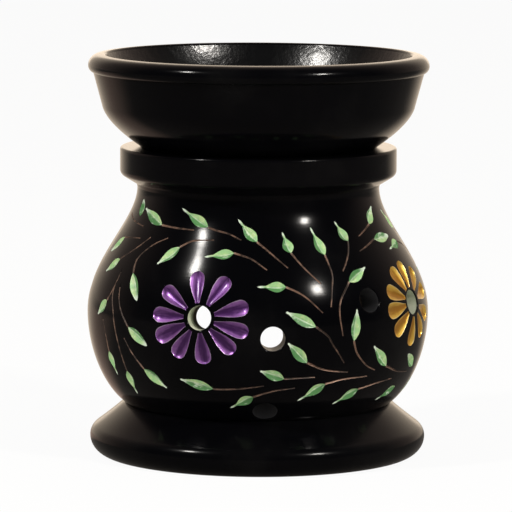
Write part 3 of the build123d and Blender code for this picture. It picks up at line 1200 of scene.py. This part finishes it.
# The sheet is welded into one closed skin, and its turned faces get the true surface's normals, read a
# little way in from each corner so that a crease's two sides stay apart.
corner_share = 0.98
belly_mesh = bpy.data.meshes.new("carved_belly")
belly_mesh.from_pydata([tuple(point) for point in belly_points], [], belly_faces)
belly_mesh.polygons.foreach_set("material_index", [finish_number[kind] for kind in belly_kinds])


def mark(name, domain, values):
    belly_mesh.attributes.new(name, "FLOAT", domain).data.foreach_set("value", values)


extra = np.zeros(len(belly_points) - len(laid))
for name, values in {"along": along_cut, "across": across_cut, "tone": tone}.items():
    mark(name, "POINT", np.append(values, extra))
mark("way", "POINT", belly_ways)
mark("middle", "FACE", belly_middles)
skin = bmesh.new()
skin.from_mesh(belly_mesh)
bmesh.ops.remove_doubles(skin, verts=skin.verts[:], dist=weld)
bmesh.ops.recalc_face_normals(skin, faces=skin.faces[:])
way_mark = skin.verts.layers.float["way"]
middle_mark = skin.faces.layers.float["middle"]
for edge in skin.edges:
    one_kind = len({face.material_index for face in edge.link_faces}) == 1
    edge.smooth = one_kind and edge.calc_face_angle(0) < crease_angle
corner_ways, corner_turns = [], []
for face in skin.faces:
    face.smooth = True
    middle = face[middle_mark]
    for corner in face.verts:
        way = corner[way_mark]
        way += loop_end * round((middle - way) / loop_end)
        turned_face = middle != no_middle and corner.co.x ** 2 + corner.co.y ** 2 > 0
        corner_ways.append((middle + corner_share * (way - middle)) % loop_end if turned_face else no_middle)
        corner_turns.append(np.arctan2(corner.co.x, -corner.co.y))
skin.to_mesh(belly_mesh)
skin.free()
corner_ways, corner_turns = np.array(corner_ways), np.array(corner_turns)
normals = around(corner_turns, *facing_at(corner_ways).T)
normals[corner_ways == no_middle] = 0
belly_mesh.normals_split_custom_set(normals.tolist())
for name in ("way", "middle"):
    belly_mesh.attributes.remove(belly_mesh.attributes[name])
for material in finishes.values():
    belly_mesh.materials.append(material)
carved_belly = put("carved_belly", belly_mesh)
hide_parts("burner_body")
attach(carved_belly, "lamp")


# Bowl: turned with a spigot under it that sits in the collar's bore, polished outside and along the rim,
# and left rougher inside where the water and the oil go.
bowl_r = min(bowl_high.x, bowl_high.y)
rim_rise = 0.020198
spigot_z = bowl_low.z
spigot_r = 0.0233
seat_end_r = 0.0292
swell_pulls = ((0.0344, 0.0801), (0.0383, 0.0838))
rim_z = collar_top_z + rim_rise
rim_under_round = 0.0017
rim_under_start = radians(-75)
rim_over_round = 0.00275
rim_over_sweep = radians(84.5)
rim_crest = 0.0011
lip_round = 0.0008
lip_sweep = radians(75.5)
bowl_turn_in = 0.00345
bowl_turn_rise = 0.0104
bowl_floor_r = 0.020
bowl_floor_rise = 0.0055
bowl_floor_pull = 0.009
turn_point = (bowl_r - bowl_turn_in, collar_top_z + bowl_turn_rise)
bowl_floor = (bowl_floor_r, collar_top_z + bowl_floor_rise)
bowl_wall_pull = 0.0071


def ring_section(centre, radius, start, sweep, count):
    """Points on an arc round a centre, from a start angle and through a sweep."""
    angles = start + sweep * np.linspace(0, 1, count + 1)
    return np.array(centre) + radius * np.column_stack([np.cos(angles), np.sin(angles)])


rim_under = ring_section(
    (bowl_r - rim_under_round, rim_z), rim_under_round, rim_under_start, -rim_under_start, 12)
rim_over = ring_section((bowl_r - rim_over_round, rim_z), rim_over_round, 0, rim_over_sweep, 18)
rim_facing = np.array([cos(rim_over_sweep), sin(rim_over_sweep)])
crest_end = rim_over[-1] + rim_crest * np.array([-rim_facing[1], rim_facing[0]])
lip = ring_section(crest_end - lip_round * rim_facing, lip_round, rim_over_sweep, lip_sweep, 10)
lip_lean = rim_over_sweep + lip_sweep + pi / 2
wall_pull = lip[-1] + bowl_wall_pull * np.array([cos(lip_lean), sin(lip_lean)])
bowl_profile = join(
    trace((0, spigot_z), (6, (spigot_r - arris, spigot_z)),
          (3, (spigot_r, spigot_z), (spigot_r, spigot_z + arris)),
          (2, (spigot_r, collar_top_z)), (3, (seat_end_r - arris, collar_top_z)),
          (3, (seat_end_r, collar_top_z), (seat_end_r + arris, collar_top_z + arris)),
          (24, *swell_pulls, turn_point), (8, rim_under[0])),
    rim_under, rim_over, bend([rim_over[-1], lip[0]], 2), lip,
    trace(lip[-1], (40, wall_pull, (bowl_floor_r + bowl_floor_pull, bowl_floor[1]), bowl_floor),
          (10, (0, bowl_floor[1]))),
)
turned_bowl = turn_piece("turned_bowl", bowl_profile, polished_stone("bowl_stone", 0.12))

# Inside the lip the stone was sanded but not buffed, and is mottled.
level_share = 1e-6
turned_bowl.data.materials.append(mottled(
    "bowl_inside_stone", (460.0, 4.0, 0.65), (0.19, 0.08), 0.00012,
    Base_Color=(0.0010, 0.0010, 0.0013, 1.0)))
for face in turned_bowl.data.polygons:
    across = Vector((face.center.x, face.center.y, 0))
    if across.length < lip[-1][0] and across.dot(face.normal) < level_share < face.normal.z:
        face.material_index = len(turned_bowl.data.materials) - 1
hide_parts("oil_bowl")
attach(turned_bowl, "bowl")


# Tealight: a cup drawn from thin aluminium foil, with fine upright pleats from the drawing die and a rolled
# lip, which stands in the middle of the chamber's floor.
cup_low, cup_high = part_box("tealight_cup")
wax_low, wax_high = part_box("tealight_wax")
wick_low, wick_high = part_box("wick")
cup_lip_r = cup_high.x
cup_lip = 0.0008
cup_r = cup_lip_r - cup_lip
cup_skin = 0.0004
cup_heel = 0.0012
lip_bead = 0.0009
bottom_bead_r = 0.0140
bottom_bead = 0.0004
cup_inner_r = cup_r - cup_skin
pleats = 72
pleat_depth = 0.00012
steps_per_pleat = 5
cup_z = cup_low.z
cup_top = cup_high.z
cup_floor = wax_low.z
bead_z = cup_z + bottom_bead / 2
lip_z = cup_top - lip_bead
cup_profile = trace(
    (0, bead_z), (6, (bottom_bead_r - bottom_bead, bead_z)),
    (6, (bottom_bead_r, cup_z - bottom_bead / 2), (bottom_bead_r + bottom_bead, bead_z)),
    (3, (cup_r - cup_heel, cup_z)), (6, (cup_r, cup_z), (cup_r, cup_z + cup_heel)), (10, (cup_r, lip_z)),
    (12, (cup_lip_r, lip_z), (cup_lip_r, cup_top - lip_bead / 2), (cup_lip_r, cup_top), (cup_r, cup_top)),
    (5, (cup_inner_r, cup_top), (cup_inner_r, cup_top - cup_skin)),
    (6, (cup_inner_r, cup_floor)), (6, (0, cup_floor)))
side_share = (cup_profile[:, 1] - cup_z - cup_heel) / (cup_top - cup_z - 3 * cup_heel)
pleated = np.sin(pi * side_share.clip(0, 1)) ** 0.5 * (cup_profile[:, 0] > cup_r - fine_weld)


def drawn_foil():
    """Bright aluminium foil: fine draw lines up the side and a slightly crinkled floor."""
    light, grey = (0.90, 0.90, 0.91, 1.0), (0.74, 0.74, 0.76, 1.0)
    line_stretch = 0.04
    finish = Finish("cup_foil", Metallic=1.0)
    x, y, z = finish.split(finish.place())
    draw_lines = finish.noise(2400.0, where=finish.combine(x, y, z * line_stretch))
    crinkle = finish.noise(380.0, 4.0)
    return finish.set(
        Base_Color=finish.mix(crinkle, grey, light), Roughness=0.22 + 0.16 * draw_lines + 0.10 * crinkle,
        Normal=finish.bump(draw_lines + crinkle, 0.00005))


foil_cup = turn_piece(
    "foil_cup", cup_profile, drawn_foil(), steps=pleats * steps_per_pleat, fluted=pleated,
    **{"Flutes": pleats, "Flute Depth": pleat_depth})
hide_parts("tealight_cup")
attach(foil_cup, "tealight")


# Wax: poured into the cup and set, so that it is dished on top, climbs the foil and the wick a little, and
# closes round the disc and the neck that hold the wick. It is white and a little mottled.
wax_r = wax_high.x
wax_top = wax_high.z
disc_r = 0.00605
disc_z = 0.0118
neck_hole_r = 0.0013
neck_top = 0.0158
wick_hole_r = 0.00085
wax_sink = 0.0005
wax_climb = 0.0016
wax_steps = 96
pool_z = wax_top - wax_sink
wax_profile = trace(
    (disc_r, cup_floor), (6, (wax_r, cup_floor)), (6, (wax_r, wax_top)),
    (8, (wax_r - wax_climb / 3, pool_z), (wax_r - wax_climb, pool_z)),
    (10, (wick_hole_r + wax_climb, pool_z)),
    (8, (wick_hole_r + wax_climb / 3, pool_z), (wick_hole_r, wax_top - wax_sink / 3)),
    (3, (wick_hole_r, neck_top)), (1, (neck_hole_r, neck_top)), (2, (neck_hole_r, disc_z)),
    (2, (disc_r, disc_z)), (1, (disc_r, cup_floor)))
wax = mottled(
    "wax", (260.0, 5.0), (0.34, 0.16), 0.00008, [(0.88, 0.88, 0.85, 1.0), (0.95, 0.93, 0.87, 1.0)],
    (0.35, 0.65), Specular_IOR_Level=0.45)
poured_wax = turn_piece("poured_wax", wax_profile, wax, steps=wax_steps)
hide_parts("tealight_wax")
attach(poured_wax, "tealight")


# Wick: eight yarns of off-white cotton, braided over and under each other and stiffened with wax.
yarns = 8
yarn_r = 0.00023
braid_r = 0.00043
braid_ripple = 0.00012
braid_turns = 7.0
yarn_points = 150
yarn_sides = 7


def braid_tree():
    """Geometry nodes that braid yarns round Z: half wind one way, half the other, over and under."""
    made, given = geometry_tree("braid", {
        "Geometry": "Geometry", "Yarns": "Int", "Yarn Radius": "Float", "Braid Radius": "Float",
        "Ripple": "Float", "Turns": "Float", "Low": "Float", "High": "Float", "Points": "Int",
        "Finish": "Material"})
    line = made.add("GeometryNodeCurvePrimitiveLine", {"Start": (0, 0, 0), "End": (0, 0, 1)})
    line = made.add("GeometryNodeResampleCurve", {"Curve": line, "Count": given["Points"]})
    spread = made.add("GeometryNodeMeshLine", {"Count": given["Yarns"], "Offset": (1, 0, 0)})
    copies = made.add("GeometryNodeInstanceOnPoints", {"Points": spread, "Instance": line})
    copies = made.change("RealizeInstances", copies)
    yarn, _, share = made.split(made.add("GeometryNodeInputPosition"))
    sense = yarn.math("MODULO", yarn, 2.0) * 2 - 1
    turn = sense * share * given["Turns"] * (2 * pi) + yarn * (2 * pi) / given["Yarns"]
    over = turn * given["Yarns"] / 2
    radius = given["Braid Radius"] + sense * given["Ripple"] * over.math("COSINE")
    rise = given["Low"] + share * (given["High"] - given["Low"])
    place = made.combine(radius * turn.math("COSINE"), radius * turn.math("SINE"), rise)
    braided = made.change("SetPosition", copies, Position=place)
    section = made.add(
        "GeometryNodeCurvePrimitiveCircle", {"Resolution": yarn_sides, "Radius": given["Yarn Radius"]})
    cord = made.add(
        "GeometryNodeCurveToMesh", {"Curve": braided, "Profile Curve": section, "Fill Caps": True})
    return end_tree(made, cord, given["Finish"])


cotton = mottled(
    "wick_cotton", (5200.0,), (0.55, 0.2), 0.00003, [(0.76, 0.73, 0.66, 1.0), (0.90, 0.88, 0.82, 1.0)])
braided_wick = plain_piece("braided_wick", bpy.data.meshes.new("wick_seed"), braid_tree(), {
    "Yarns": yarns, "Yarn Radius": yarn_r, "Braid Radius": braid_r, "Ripple": braid_ripple,
    "Turns": braid_turns, "Low": wick_low.z, "High": wick_high.z, "Points": yarn_points, "Finish": cotton})
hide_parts("wick")
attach(braided_wick, "tealight")

# The wick is held upright by a disc with a crimped neck, pressed from faintly spangled tinplate.
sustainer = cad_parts["wick_sustainer"]
sustainer.data.materials.clear()
sustainer.data.materials.append(mottled(
    "tinned_disc", (700.0, 4.0), (0.28, 0.2), 0.00004, [(0.60, 0.60, 0.63, 1.0), (0.74, 0.74, 0.76, 1.0)],
    Metallic=1.0))
